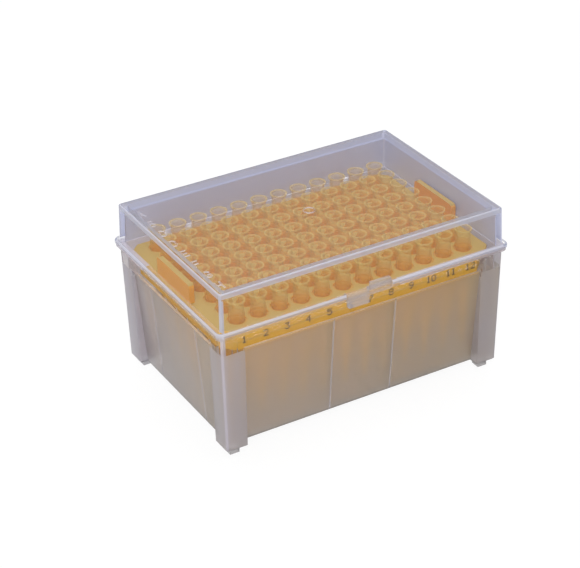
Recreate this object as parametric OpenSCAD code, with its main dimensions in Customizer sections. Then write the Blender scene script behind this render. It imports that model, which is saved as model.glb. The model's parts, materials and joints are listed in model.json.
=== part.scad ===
// Hinged box of pipette tips: a clear base and lid, and a tray that holds the tips
// in twelve columns. Millimetres, +Z up. The origin is on the surface that the box
// stands on, under the middle of the tip grid. The columns are counted along +X,
// the catch is at -Y and the lid's hinge is at +Y.

/* [Tip grid] */
// Distance between neighbouring tips, both ways
pitch = 9; // [8.8:0.1:9.6]
// Tips in each column, from front to back
rows = 8; // [5:1:8]

/* [Tips] */
// Length of a tip
tip_l = 50; // [46:1:54]
// Diameter over the lip at the mouth
tip_lip_d = 6.8; // [6.4:0.1:7.4]
// Height of the lip
tip_lip_h = 0.5; // [0.3:0.1:0.9]
// Distance from the mouth to the lower end of the flare under the lip
tip_flare_h = 1.6; // [1.2:0.1:2.4]
// Diameter of the collar under the flare
tip_collar_d = 5.8; // [5.5:0.1:6.2]
// Length of the collar, from the mouth to the shoulder that sits in the tray
tip_collar_l = 9; // [8:0.5:11]
// Diameter of the cone just under the shoulder
tip_body_d = 4.9; // [4.5:0.1:5.2]
// Diameter where the cone turns steeper
tip_waist_d = 3.4; // [2.6:0.1:4]
// Distance of that turn from the end of the tip
tip_waist_up = 17; // [12:1:22]
// Diameter of the end of the tip
tip_end_d = 1; // [0.8:0.1:1.4]
// Wall of the tip
tip_wall = 0.4; // [0.3:0.05:0.5]
// Ribs around the collar
tip_ribs = 12; // [6:1:16]
// Height of the ribs
tip_rib_h = 3.2; // [2:0.2:4]
// Height of the ribs' lower ends above the shoulder
tip_rib_up = 0.2; // [0.1:0.1:1]
// How far the ribs stand out of the collar
tip_rib_out = 0.15; // [0.1:0.05:0.4]
// Thickness of a rib
tip_rib_t = 0.6; // [0.4:0.1:0.8]

/* [Tray] */
// Thickness of the tray's plate
plate_t = 1.6; // [1.2:0.1:2.4]
// From the middle of the outer tips to the plate's ends
plate_end = 9; // [8.5:0.1:12]
// From the middle of the outer tips to the plate's long sides
plate_side = 6.3; // [5.8:0.1:9]
// Chamfer of the plate's corners
plate_chamfer = 3.2; // [2:0.1:4.5]
// Gap around the cone of a tip in its hole
hole_gap = 0.2; // [0.1:0.05:0.35]
// Gap around the ribs of a tip in its seat
seat_gap = 0.55; // [0.2:0.05:0.7]
// Depth of the seats in the plate
seat_depth = 0.6; // [0.3:0.1:0.9]
// Height of the tray over all
skirt_h = 9.3; // [7:0.1:14]
// Thickness of the skirt
skirt_t = 1.4; // [1:0.1:1.8]
// How far the plate stands out over the skirt
skirt_inset = 1; // [0.6:0.1:1.6]
// Chamfer of the skirt's corners
skirt_chamfer = 5; // [3.5:0.1:7]
// Length of the grip at each end
grip_l = 26; // [16:1:34]
// Height of the grips above the plate
grip_h = 7.8; // [4:0.1:9]
// Thickness of the grips
grip_t = 2.1; // [1.2:0.1:2.4]
// How far the grips stand out past the plate's ends
grip_over = 0.4; // [0:0.1:0.5]
// Radius of the grips' upper corners
grip_r = 1.5; // [0.8:0.1:3]

/* [Base] */
// Wall of the base
wall = 1.8; // [1.4:0.1:2.2]
// Thickness of the floor
floor_t = 1.8; // [1.4:0.1:3]
// Draft of the base's walls, in degrees
base_draft = 1; // [0.5:0.1:1.5]
// Gap from the tray's ends to the wall
end_gap = 1; // [0.6:0.05:2]
// Gap from the tray's long sides to the wall
side_gap = 1.7; // [1:0.05:2.5]
// Height of the tips' ends above the floor
tip_floor_gap = 6.2; // [3:0.1:12]
// Height of the rim above the tray's plate
rim_above_plate = 1.6; // [0.8:0.1:3]
// Radius of the upright corners
corner_r = 1; // [0.8:0.1:3]
// Width of the corner posts
post_w = 9.6; // [7:0.1:14]
// Depth of the panels behind the posts at their upper edge
panel_in = 1; // [0.6:0.1:1.4]
// Depth of the front and rear panels at the bottom
panel_side_in = 4.6; // [2:0.1:4.8]
// Depth of the end panels at the bottom
panel_end_in = 3.4; // [2:0.1:5]
// Height of the panels' upper edge above the bottom of the tray
panel_over_skirt = 2.8; // [0.8:0.1:4]
// Height of the feet
foot_h = 3.2; // [1:0.1:4]
// Width of a foot
foot_w = 4; // [3:0.1:5]
// Thickness of the ribs that the tray stands on
rest_t = 1.4; // [1:0.1:2.4]
// How far those ribs stand out of the wall at the floor
rest_out = 1.2; // [0.8:0.1:1.6]

/* [Rim and flange] */
// How far the lid's flange stands out of the wall
flange_out = 2; // [1.6:0.1:3]
// Thickness of the lid's flange
flange_t = 1.5; // [1.3:0.1:3]
// How far the base's rim stands out of the wall
rim_out = 1.7; // [1.3:0.1:3]
// Thickness of the base's rim
rim_t = 1.1; // [1:0.1:3]
// Radius of the flange's corners in plan
flange_r = 3; // [2:0.1:5]
// Gap between the lid and the base when the box is shut
joint_gap = 0.2; // [0.1:0.05:0.3]

/* [Lid] */
// Wall of the lid
lid_wall = 1.5; // [1.2:0.1:2]
// Thickness of the lid's top panel
lid_top_t = 1.6; // [1.2:0.1:2.4]
// Room between the tips and the lid's top panel
headroom = 6.1; // [3:0.1:20]
// Draft of the lid's walls, in degrees
lid_draft = 1.5; // [0.5:0.1:2]
// Height of the edge around the top, that the feet of the next box stand in
stack_h = 2; // [1:0.1:3]
// Width of that edge
stack_w = 2.6; // [2:0.1:3.4]
// Gap between that edge and the feet of the next box
stack_gap = 0.3; // [0.2:0.05:0.6]
// Rounding of the lid's upper edge
edge_r = 0.6; // [0.4:0.1:1.6]
// Height of the row letters
letter_h = 4.6; // [3:0.1:6]
// Width of the lines of the marks
mark_w = 0.5; // [0.35:0.05:0.7]
// How far the marks stand out
mark_t = 0.25; // [0.15:0.05:0.5]
// Diameter of the ring in the middle of the lid
gate_d = 4.8; // [3:0.1:7]

/* [Catch] */
// Width of each of the two tabs at the catch
tab_w = 9.2; // [7:0.1:12]
// Thickness of the tabs
tab_t = 1.2; // [0.9:0.1:1.4]
// Gap between the two tabs
tab_gap = 0.5; // [0.4:0.1:1]
// How far the lid's tab hangs below the joint
tab_down = 4.4; // [3:0.1:6]
// How far the base's tab stands above the joint
tab_up = 3.9; // [2.5:0.1:5]
// Radius of the tabs' free corners
tab_r = 1.2; // [0.6:0.1:2]
// How far the catch's two beads stand out
bead_out = 0.4; // [0.2:0.05:0.45]
// Height of the beads
bead_h = 0.9; // [0.6:0.1:1.2]
// Play between the beads when the box is shut
bead_play = 0.5; // [0.3:0.1:0.6]

/* [Hinge] */
// Distance between the two hinges
hinge_span = 72; // [50:1:84]
// Width of the lid's arm in each hinge
arm_w = 8; // [5:0.1:12]
// Thickness of the ears on the base
ear_t = 2.4; // [1.8:0.1:3.5]
// Gap between an arm and its ears
arm_gap = 0.3; // [0.2:0.05:0.5]
// Diameter of the hinge pins
pin_d = 2.4; // [2:0.1:3]
// Gap all round the pins in their bores
pin_gap = 0.08; // [0.05:0.01:0.1]
// Wall around the bores and pins
ear_wall = 1.4; // [1.1:0.1:1.8]
// From the outside of the flange to the hinge's axis
hinge_back = 2.3; // [2.2:0.1:4]

/* [Hidden] */
columns = 12;
function tips_name(c) = str("tips_column_", c < 10 ? "0" : "", c);

clear_colour = [0.80, 0.80, 0.86, 0.55];
tray_colour = [0.90, 0.66, 0.24];
tip_colour = [0.88, 0.72, 0.38, 0.85];

skin = 0.01;         // thickness of the slices that hulls are made of
deep = 40;           // length of cutters that run out of the solid
corner_fn = 32;      // facets of the rounded shells
round_fn = 64;
edge_steps = 4;      // slices in the rounding of the lid's upper edge

// Heights
base_z = foot_h;
floor_z = base_z + floor_t;
tip_end_z = floor_z + tip_floor_gap;
tip_top_z = tip_end_z + tip_l;
seat_z = tip_top_z - tip_collar_l;
plate_z = seat_z + seat_depth;
skirt_z = plate_z - skirt_h;
panel_z = skirt_z + panel_over_skirt;
joint_z = plate_z + rim_above_plate;
rim_top_z = joint_z - joint_gap / 2;
rim_z = rim_top_z - rim_t;
lid_z = joint_z + joint_gap / 2;
panel_under_z = tip_top_z + headroom;
panel_top_z = panel_under_z + lid_top_t;
lid_top_z = panel_top_z + stack_h;

// Plan sizes, all of them halves of lengths along X and Y
grid = [(columns - 1) * pitch / 2, (rows - 1) * pitch / 2];
plate = grid + [plate_end, plate_side];
skirt = plate - [skirt_inset, skirt_inset];
body = plate + [end_gap + wall, side_gap + wall];
rim = body + [rim_out, rim_out];
flange = body + [flange_out, flange_out];
stack = lid_at(lid_top_z) - [stack_w, stack_w];
foot = stack - [stack_gap, stack_gap];
panel_bottom_in = [panel_end_in, panel_side_in];

hinge_y = flange[1] + hinge_back;
hinge_z = joint_z;
pin_r = pin_d / 2;
ear_r = pin_r + pin_gap + ear_wall;
arm_r = pin_r + ear_wall - joint_gap;
ear_x = arm_w / 2 + arm_gap;
hinge_half = ear_x + ear_t;
notch_half = hinge_half + ear_wall / 2;

tab_y = -flange[1];
tab_inner_y = tab_y + tab_t;
catch_half = tab_w + tab_gap / 2;
catch_notch = catch_half + tab_gap;
bead_z = rim_z - bead_h;

seat_d = tip_collar_d + 2 * (tip_rib_out + seat_gap);
hole_d = tip_body_d + 2 * hole_gap;
rest_side_x = 1.5 * pitch;
rest_end_y = min(2 * pitch, body[1] - 2 * post_w);

// Half sizes of the base's and the lid's outside at a height
function base_at(z) = let (d = (joint_z - z) * tan(base_draft)) body - [d, d];
function lid_at(z) = let (d = (z - joint_z) * tan(lid_draft)) body - [d, d];
// Depth of the panels behind the posts at a height
function panel_depth(z, side) =
    panel_in + (panel_bottom_in[side] - panel_in) * (panel_z - z) / (panel_z - base_z);
function panel_at(z, side) = base_at(z)[side] - panel_depth(z, side);

module rounded(half, r) {
    square([2 * half[0], 2 * half[1] - 2 * r], center = true);
    square([2 * half[0] - 2 * r, 2 * half[1]], center = true);
    for (x = [-1, 1], y = [-1, 1])
        translate([x * (half[0] - r), y * (half[1] - r)])
            circle(r = r, $fn = corner_fn);
}

module chamfered(half, c) {
    polygon([
        for (q = [[1, 1, 0], [-1, 1, 1], [-1, -1, 0], [1, -1, 1]])
            let (a = [q[0] * half[0], q[1] * (half[1] - c)], b = [q[0] * (half[0] - c), q[1] * half[1]])
                each q[2] == 0 ? [a, b] : [b, a]
    ]);
}

module slice(z, half, r) {
    translate([0, 0, z])
        linear_extrude(height = skin)
            rounded(half, r);
}

module chamfered_ring(half, c, h, t) {
    linear_extrude(height = h)
        difference() {
            chamfered(half, c);
            chamfered(half - [t, t], c - t * (2 - sqrt(2)));
        }
}

// A bar's outline with its two upper corners rounded
module soft_outline(half, h, r) {
    translate([-half, 0])
        square([2 * half, h - r]);
    translate([r - half, 0])
        square([2 * (half - r), h]);
    for (x = [-1, 1])
        translate([x * (half - r), h - r])
            intersection() {
                circle(r = r, $fn = round_fn);
                translate([-r, 0])
                    square([2 * r, r]);
            }
}

// A bar along X of the outline that its children draw in Y and Z
module along_x(length) {
    translate([-length / 2, 0, 0])
        rotate([90, 0, 90])
            linear_extrude(height = length)
                children();
}

// A plate that stands across Y, as the catch's tabs and the grips do
module upright(x0, x1, z0, z1, y, t) {
    translate([0, y + t, 0])
        rotate([90, 0, 0])
            linear_extrude(height = t)
                translate([x0, z0])
                    square([x1 - x0, z1 - z0]);
}

// Base

module base_outside() {
    hull() {
        slice(base_z, base_at(base_z) - [corner_r / 2, corner_r / 2], corner_r / 2);
        slice(base_z + corner_r / 2, base_at(base_z), corner_r);
        slice(rim_top_z - skin, body, corner_r);
    }
}

module base_inside() {
    hull() {
        slice(floor_z, base_at(floor_z) - [wall, wall], corner_r);
        slice(rim_top_z, body - [wall, wall], corner_r);
    }
}

// Everything outside a panel between two posts, moved in by a wall
module panel_cut(side, in, span, top) {
    along_x(2 * span)
        polygon([
            [-panel_at(top, side) + in, top],
            [-panel_at(0, side) + in, 0],
            [-deep * 2, 0],
            [-deep * 2, top]
        ]);
}

module panel_cuts(in) {
    for (turn = [0, 180])
        rotate([0, 0, turn]) {
            panel_cut(1, in, body[0] - post_w + in, panel_z + in);
            rotate([0, 0, 90])
                panel_cut(0, in, body[1] - post_w + in, panel_z + in);
        }
}

// One rib inside a wall, with its top under the tray's skirt
module rest(side) {
    along_x(rest_t)
        polygon([
            [-panel_at(skirt_z, side) + wall / 2, skirt_z],
            [-skirt[side] + skirt_t, skirt_z],
            [-panel_at(floor_z, side) + wall + rest_out, floor_z - floor_t / 2],
            [-panel_at(floor_z, side) + wall / 2, floor_z - floor_t / 2]
        ]);
}

module rests() {
    for (turn = [0, 180], s = [-1, 1])
        rotate([0, 0, turn]) {
            translate([s * rest_side_x, 0, 0]) rest(1);
            rotate([0, 0, 90])
                translate([s * rest_end_y, 0, 0]) rest(0);
        }
}

module rim_band() {
    translate([0, 0, rim_z])
        linear_extrude(height = rim_t)
            difference() {
                rounded(rim, flange_r);
                rounded(body - [wall / 2, wall / 2], corner_r);
            }
}

module feet() {
    for (x = [-1, 1], y = [-1, 1])
        translate([x * (foot[0] - foot_w / 2), y * (foot[1] - foot_w / 2), floor_z / 2])
            cube([foot_w, foot_w, floor_z], center = true);
}

module hinge_places() {
    for (x = [-1, 1])
        translate([x * hinge_span / 2, hinge_y, hinge_z])
            children();
}

module rod(r, length) {
    rotate([0, 90, 0])
        cylinder(r = r, h = length, center = true, $fn = round_fn);
}

module ears() {
    hinge_places()
        for (x = [-1, 1])
            translate([x * (ear_x + ear_t / 2), 0, 0]) {
                rod(ear_r, ear_t);
                translate([-ear_t / 2, body[1] - wall / 2 - hinge_y, -ear_r])
                    cube([ear_t, hinge_y - body[1] + wall / 2, rim_top_z - hinge_z + ear_r]);
            }
}

module thumb_tab() {
    x0 = tab_gap / 2;
    top = joint_z + tab_up;
    difference() {
        union() {
            upright(x0, catch_half, rim_z, top, tab_y, tab_t);
            upright(x0, catch_half, rim_z, rim_top_z, tab_inner_y - skin, -tab_inner_y - body[1] + wall / 2);
        }
        corner_cut(catch_half, top, 1);
    }
}

// Takes the sharp corner off a tab's free end, at its outer or inner side
module corner_cut(x, z, up) {
    translate([x - tab_r, tab_y - tab_t, z - up * tab_r])
        mirror([0, 0, up > 0 ? 0 : 1])
            difference() {
                cube([2 * tab_r, 4 * tab_t, 2 * tab_r]);
                translate([0, 2 * tab_t, 0])
                    rotate([90, 0, 0])
                        cylinder(r = tab_r, h = 6 * tab_t, center = true, $fn = round_fn);
            }
}

module base() {
    color(clear_colour)
        difference() {
            union() {
                difference() {
                    union() {
                        base_outside();
                        rim_band();
                    }
                    panel_cuts(0);
                    difference() {
                        base_inside();
                        panel_cuts(wall);
                    }
                    translate([-catch_notch, -rim[1] - 1, rim_z - 1])
                        cube([2 * catch_notch, rim_out + 1, rim_t + 2]);
                    for (x = [-1, 1])
                        translate([x * hinge_span / 2 - ear_x, body[1] + skin, rim_z - 1])
                            cube([2 * ear_x, rim_out + 1, rim_t + 2]);
                }
                feet();
                rests();
                ears();
                thumb_tab();
                upright(-tab_w, -tab_gap, bead_z, rim_z, -body[1] - bead_out, bead_out + wall / 2);
            }
            hinge_places() rod(pin_r + pin_gap, 2 * hinge_half + 2);
        }
}

// Lid

module lid_outside() {
    top = lid_at(lid_top_z);
    hull() {
        slice(lid_z, body, corner_r);
        for (k = [0:edge_steps])
            let (a = 90 * k / edge_steps, s = edge_r * (1 - cos(a)))
                slice(lid_top_z - edge_r + edge_r * sin(a) - skin, top - [s, s], corner_r);
    }
}

module lid_inside() {
    hull() {
        slice(lid_z - 1, body - [lid_wall, lid_wall], corner_r);
        slice(panel_under_z - skin, lid_at(panel_under_z) - [lid_wall, lid_wall], corner_r);
    }
}

module lid_flange() {
    r = flange_t * 0.6;
    long = flange - [flange_r, flange_r];
    translate([0, 0, lid_z]) {
        along_x(2 * long[0]) soft_outline(flange[1], flange_t, r);
        rotate([0, 0, 90])
            along_x(2 * long[1]) soft_outline(flange[0], flange_t, r);
        for (x = [-1, 1], y = [-1, 1])
            translate([x * long[0], y * long[1], 0])
                rotate_extrude($fn = round_fn)
                    intersection() {
                        soft_outline(flange_r, flange_t, r);
                        square([flange_r, flange_t]);
                    }
    }
}

module stroke(a, b, w) {
    d = b - a;
    translate(a)
        rotate([0, 0, atan2(d[1], d[0])])
            translate([-w / 2, -w / 2])
                square([norm(d) + w, w]);
}

// Strokes of the letters A to H, on a grid two wide and four high
LETTERS = [
    [[[0, 0], [1, 4]], [[1, 4], [2, 0]], [[0.4, 1.5], [1.6, 1.5]]],
    [[[0, 0], [0, 4]], [[0, 4], [1.5, 4]], [[1.5, 4], [1.9, 3.2]], [[1.9, 3.2], [1.5, 2.2]],
        [[0, 2.2], [1.5, 2.2]], [[1.5, 2.2], [2, 1.1]], [[2, 1.1], [1.5, 0]], [[1.5, 0], [0, 0]]],
    [[[2, 3.3], [1.3, 4]], [[1.3, 4], [0.6, 4]], [[0.6, 4], [0, 3.2]], [[0, 3.2], [0, 0.8]],
        [[0, 0.8], [0.6, 0]], [[0.6, 0], [1.3, 0]], [[1.3, 0], [2, 0.7]]],
    [[[0, 0], [0, 4]], [[0, 4], [1.2, 4]], [[1.2, 4], [2, 3]], [[2, 3], [2, 1]],
        [[2, 1], [1.2, 0]], [[1.2, 0], [0, 0]]],
    [[[0, 0], [0, 4]], [[0, 4], [2, 4]], [[0, 2], [1.7, 2]], [[0, 0], [2, 0]]],
    [[[0, 0], [0, 4]], [[0, 4], [2, 4]], [[0, 2], [1.7, 2]]],
    [[[2, 3.3], [1.3, 4]], [[1.3, 4], [0.6, 4]], [[0.6, 4], [0, 3.2]], [[0, 3.2], [0, 0.8]],
        [[0, 0.8], [0.6, 0]], [[0.6, 0], [1.3, 0]], [[1.3, 0], [2, 0.7]], [[2, 0.7], [2, 1.8]],
        [[2, 1.8], [1.1, 1.8]]],
    [[[0, 0], [0, 4]], [[2, 0], [2, 4]], [[0, 2], [2, 2]]]
];

module row_letters() {
    unit = (letter_h - mark_w) / 4;
    left = -stack[0] + mark_w * 3;
    for (row = [0:rows - 1])
        translate([left, grid[1] - row * pitch - 2 * unit, panel_top_z - mark_t])
            linear_extrude(height = 2 * mark_t)
                for (s = LETTERS[row])
                    stroke(s[0] * unit, s[1] * unit, mark_w);
}

module gate_ring() {
    translate([0, 0, panel_top_z - mark_t])
        linear_extrude(height = 2 * mark_t)
            difference() {
                circle(d = gate_d, $fn = round_fn);
                circle(d = gate_d - 2 * mark_w, $fn = round_fn);
                square([gate_d + 1, 2 * mark_w], center = true);
            }
}

module lid_arms() {
    hinge_places() {
        rod(arm_r, arm_w);
        rod(pin_r, 2 * hinge_half);
        translate([-arm_w / 2, body[1] - lid_wall / 2 - hinge_y, joint_gap])
            cube([arm_w, hinge_y - body[1] + lid_wall / 2, arm_r - joint_gap]);
    }
}

module lid_tab() {
    x1 = -tab_gap / 2;
    z0 = joint_z - tab_down;
    difference() {
        union() {
            upright(-catch_half, x1, z0, lid_z + flange_t, tab_y, tab_t);
            upright(-catch_half, x1, lid_z, lid_z + flange_t, tab_y, -tab_y - body[1] + lid_wall / 2);
            upright(-tab_w, -tab_gap, bead_z - bead_play - bead_h, bead_z - bead_play, tab_inner_y - skin, bead_out);
        }
        mirror([1, 0, 0]) corner_cut(catch_half, z0, -1);
    }
}

module lid() {
    color(clear_colour)
        union() {
            difference() {
                union() {
                    lid_outside();
                    difference() {
                        lid_flange();
                        translate([-catch_notch, -flange[1] - 1, lid_z - 1])
                            cube([2 * catch_notch, flange_out + 1, flange_t + 2]);
                        for (x = [-1, 1])
                            translate([x * hinge_span / 2 - notch_half, body[1], lid_z - 1])
                                cube([2 * notch_half, flange_out + 1, flange_t + 2]);
                    }
                }
                lid_inside();
                translate([0, 0, panel_top_z])
                    linear_extrude(height = deep)
                        rounded(stack, corner_r);
            }
            row_letters();
            gate_ring();
            lid_arms();
            lid_tab();
        }
}

// Tray

module seats() {
    for (c = [0:columns - 1], r = [0:rows - 1])
        translate([c * pitch - grid[0], r * pitch - grid[1], 0]) {
            translate([0, 0, seat_z])
                cylinder(d = seat_d, h = deep, $fn = round_fn);
            translate([0, 0, plate_z - deep])
                cylinder(d = hole_d, h = 2 * deep, $fn = round_fn);
        }
}

module grip() {
    translate([plate[0] + grip_over - grip_t, 0, plate_z - plate_t / 2])
        rotate([90, 0, 90])
            linear_extrude(height = grip_t)
                soft_outline(grip_l / 2, grip_h + plate_t / 2, grip_r);
}

module tray() {
    color(tray_colour)
        difference() {
            union() {
                translate([0, 0, plate_z - plate_t])
                    linear_extrude(height = plate_t)
                        chamfered(plate, plate_chamfer);
                translate([0, 0, skirt_z])
                    chamfered_ring(skirt, skirt_chamfer, skirt_h - plate_t / 2, skirt_t);
                for (turn = [0, 180])
                    rotate([0, 0, turn]) grip();
            }
            seats();
        }
}

// Tips

module tip() {
    r_lip = tip_lip_d / 2;
    r_collar = tip_collar_d / 2;
    r_body = tip_body_d / 2;
    r_waist = tip_waist_d / 2;
    r_end = tip_end_d / 2;
    z_waist = tip_waist_up - tip_l;
    rotate_extrude($fn = round_fn)
        polygon([
            [r_lip - tip_wall, 0],
            [r_lip, 0],
            [r_lip, -tip_lip_h],
            [r_collar, -tip_flare_h],
            [r_collar, -tip_collar_l],
            [r_body, -tip_collar_l],
            [r_waist, z_waist],
            [r_end, -tip_l],
            [r_end - tip_wall / 2, -tip_l],
            [r_waist - tip_wall, z_waist],
            [r_body - tip_wall, -tip_collar_l],
            [r_collar - tip_wall, -tip_collar_l + tip_rib_up + tip_rib_h],
            [r_collar - tip_wall, -tip_flare_h]
        ]);
    for (k = [0:tip_ribs - 1])
        rotate([0, 0, 360 * (k + 0.5) / tip_ribs])
            translate([r_collar - tip_wall / 2, -tip_rib_t / 2, tip_rib_up - tip_collar_l])
                cube([tip_wall / 2 + tip_rib_out, tip_rib_t, tip_rib_h]);
}

module tips_column(c) {
    color(tip_colour)
        for (r = [0:rows - 1])
            translate([(c - 1) * pitch - grid[0], r * pitch - grid[1], tip_top_z])
                tip();
}

base();
lid();
tray();
for (c = [1:columns]) tips_column(c);
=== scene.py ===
# Looks for a hinged box of pipette tips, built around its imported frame.
# Metres, in the frame's axes: +X along the columns, the catch at -Y, +Z up.

import json
import math

import bmesh
import bpy
from bpy.props import FloatProperty, FloatVectorProperty, IntProperty, PointerProperty
from mathutils import Matrix, Vector


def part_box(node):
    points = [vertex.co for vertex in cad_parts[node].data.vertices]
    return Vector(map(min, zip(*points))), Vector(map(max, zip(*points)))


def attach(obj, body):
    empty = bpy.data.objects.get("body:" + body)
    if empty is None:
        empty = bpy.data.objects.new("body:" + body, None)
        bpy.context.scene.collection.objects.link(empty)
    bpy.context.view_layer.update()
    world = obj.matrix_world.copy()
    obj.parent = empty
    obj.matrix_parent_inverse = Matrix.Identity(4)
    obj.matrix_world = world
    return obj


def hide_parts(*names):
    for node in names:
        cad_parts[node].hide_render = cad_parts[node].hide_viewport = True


bl_info = {
    "name": "Pipette Tip Box",
    "version": (1, 0, 0),
    "blender": (4, 5, 0),
    "location": "View3D > Sidebar > Tip Box",
    "description": "Dresses a hinged laboratory box of pipette tips in translucent plastic",
    "category": "Object",
}

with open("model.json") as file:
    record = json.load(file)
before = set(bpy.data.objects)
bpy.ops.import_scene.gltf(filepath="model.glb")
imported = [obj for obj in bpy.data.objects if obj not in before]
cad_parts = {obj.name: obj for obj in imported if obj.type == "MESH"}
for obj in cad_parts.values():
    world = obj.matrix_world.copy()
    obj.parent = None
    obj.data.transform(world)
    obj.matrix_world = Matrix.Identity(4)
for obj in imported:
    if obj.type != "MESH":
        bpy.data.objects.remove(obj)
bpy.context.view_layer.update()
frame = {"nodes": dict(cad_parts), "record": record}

MM = 0.001
COLUMNS = sorted(name for name in frame["nodes"] if name.startswith("tips_column_"))
TRAY_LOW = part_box("tray")[0]
BASE_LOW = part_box("base")[0]
LID_LOW, LID_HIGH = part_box("lid")
FIRST_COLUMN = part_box(COLUMNS[0])
LAST_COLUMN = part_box(COLUMNS[-1])
FIRST_X = (FIRST_COLUMN[0].x + FIRST_COLUMN[1].x) / 2
LAST_X = (LAST_COLUMN[0].x + LAST_COLUMN[1].x) / 2
FIRST_Y = FIRST_COLUMN[0].y + (FIRST_COLUMN[1].x - FIRST_COLUMN[0].x) / 2
PITCH = (LAST_X - FIRST_X) / (len(COLUMNS) - 1)
TIP_TOP = FIRST_COLUMN[1].z
HINGE = Vector(frame["record"]["behaviour"]["joints"][0]["pos_m"])

OUT = 2.0 * MM                                       # flange, outside the wall
BODY = Vector((LID_HIGH.x - OUT, -LID_LOW.y - OUT))  # half of the box's plan at the joint
STACK_H = 2.0 * MM                                   # stacking edge above the top panel
PANEL_T = 1.6 * MM
PANEL_TOP = LID_HIGH.z - STACK_H
POST_W = 9.6 * MM
FOOT_H = 3.2 * MM
PLATE_TOP = TIP_TOP - 8.4 * MM                       # the tray's plate, under the tips' mouths
SKIRT_IN = 1.0 * MM                                  # the skirt's face, behind the tray's front
RIB_X, RIB_Y = 1.5 * PITCH, 2 * PITCH                # ribs inside the long and the end walls
RIB_LINE = 0.3 * MM                                  # half width of the line that a rib leaves outside
LEDGE_Z = TRAY_LOW.z + 2.8 * MM                      # upper edge of the set-in panels
VEIL_Z = LEDGE_Z - 0.7 * MM                          # where their haze begins outside

CLOUD_SCALE = 60                                     # noise cycles in a metre
MOULD_GRAIN_SCALE = 2500
TIP_CLOUD_SCALE = 400
TIP_GRAIN_SCALE = 1800
TRAY_CLOUD_SCALE = 90
TRAY_GRAIN_SCALE = 1500
INK_SCALE = 1500


# ---------------------------------------------------------------- shader maths


class Wire:
    """A socket, or a number, that adds Math nodes when it is used in a sum."""

    def __init__(self, recipe, value):
        self.recipe = recipe
        self.value = value

    def _math(self, operation, a, b):
        return self.recipe.node("ShaderNodeMath", {"operation": operation}, {0: a, 1: b})["Value"]

    def __add__(self, other):
        return self._math("ADD", self, other)

    def __radd__(self, other):
        return self._math("ADD", other, self)

    def __sub__(self, other):
        return self._math("SUBTRACT", self, other)

    def __rsub__(self, other):
        return self._math("SUBTRACT", other, self)

    def __mul__(self, other):
        return self._math("MULTIPLY", self, other)

    def __rmul__(self, other):
        return self._math("MULTIPLY", other, self)

    def __mod__(self, other):
        return self._math("FLOORED_MODULO", self, other)

    def __rmod__(self, other):
        return self._math("FLOORED_MODULO", other, self)

    def __pow__(self, other):
        return self._math("POWER", self, other)

    def __rpow__(self, other):
        return self._math("POWER", other, self)


class Made:
    """A node that has been added, whose outputs are read by name or place as wires."""

    def __init__(self, recipe, node):
        self.recipe = recipe
        self.node = node

    def __getitem__(self, name):
        return Wire(self.recipe, self.node.outputs[name])


MIX_FACTOR, MIX_A, MIX_B, MIX_RESULT = 0, 6, 7, 2    # places of a Mix node's colour sockets


class Recipe:
    """A material that is put together node by node."""

    def __init__(self, name):
        self.material = bpy.data.materials.new(name)
        self.material.use_nodes = True
        self.tree = self.material.node_tree
        self.tree.nodes.clear()
        self.output = self.tree.nodes.new("ShaderNodeOutputMaterial")

    def node(self, kind, settings=None, sockets=None):
        """A new node, with its settings first and then the values or links of its sockets."""
        made = self.tree.nodes.new(kind)
        for key, value in (settings or {}).items():
            setattr(made, key, value)
        for key, value in (sockets or {}).items():
            value = value.value if isinstance(value, Wire) else value
            if isinstance(value, bpy.types.NodeSocket):
                self.tree.links.new(value, made.inputs[key])
            else:
                made.inputs[key].default_value = value
        return Made(self, made)

    def surface(self, wire):
        self.tree.links.new(wire.value, self.output.inputs["Surface"])
        return self.material

    def place(self):
        return self.node("ShaderNodeTexCoord")["Object"]

    def parts(self, vector):
        """A vector's X, Y and Z."""
        return self.node("ShaderNodeSeparateXYZ", None, {"Vector": vector})

    def noise(self, scale, detail=2.0):
        return self.node("ShaderNodeTexNoise", None,
                         {"Vector": self.place(), "Scale": scale, "Detail": detail})["Fac"]

    def blend(self, factor, a, b):
        """Colour a where the factor is 0, and b where it is 1."""
        mix = self.node("ShaderNodeMix", {"data_type": "RGBA"}, {MIX_FACTOR: factor, MIX_A: a, MIX_B: b})
        return mix[MIX_RESULT]

    def scaled(self, colour, share):
        """A colour, made lighter or darker."""
        return self.node("ShaderNodeVectorMath", {"operation": "SCALE"},
                         {0: colour, "Scale": share})["Vector"]

    def mix(self, factor, one, other):
        """One surface where the factor is 0, and the other where it is 1."""
        return self.node("ShaderNodeMixShader", None, {0: factor, 1: one, 2: other})["Shader"]

    def lets_light_in(self, shader, share):
        """The shader, with a lighter shadow than its surface alone would cast."""
        shadow = self.node("ShaderNodeLightPath")["Is Shadow Ray"]
        clear = self.node("ShaderNodeBsdfTransparent")["BSDF"]
        return self.mix(shadow * share, shader, clear)

    def face(self, name):
        """A value that each face of the mesh carries."""
        return self.node("ShaderNodeAttribute", {"attribute_name": name})["Fac"]

    def step(self, value, low, high):
        """0 at low and 1 at high, and no further either way."""
        return self.node("ShaderNodeMapRange", {"clamp": True}, {
            "Value": value, "From Min": low, "From Max": high})["Result"]

    def bump(self, height, distance):
        return self.node("ShaderNodeBump", None, {"Height": height, "Distance": distance})["Normal"]


def rgba(colour):
    return (*colour, 1.0)


MILK_ROUGHNESS = 0.3
# painted shade: the darker line just above the feet
LINE_LOW, LINE_HIGH = FOOT_H + 0.2 * MM, FOOT_H + 0.9 * MM  # a darker line along the lower edge
BAND_MEAN = 0.33                                     # of the bands' curve, which runs from 0 to 1


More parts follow.
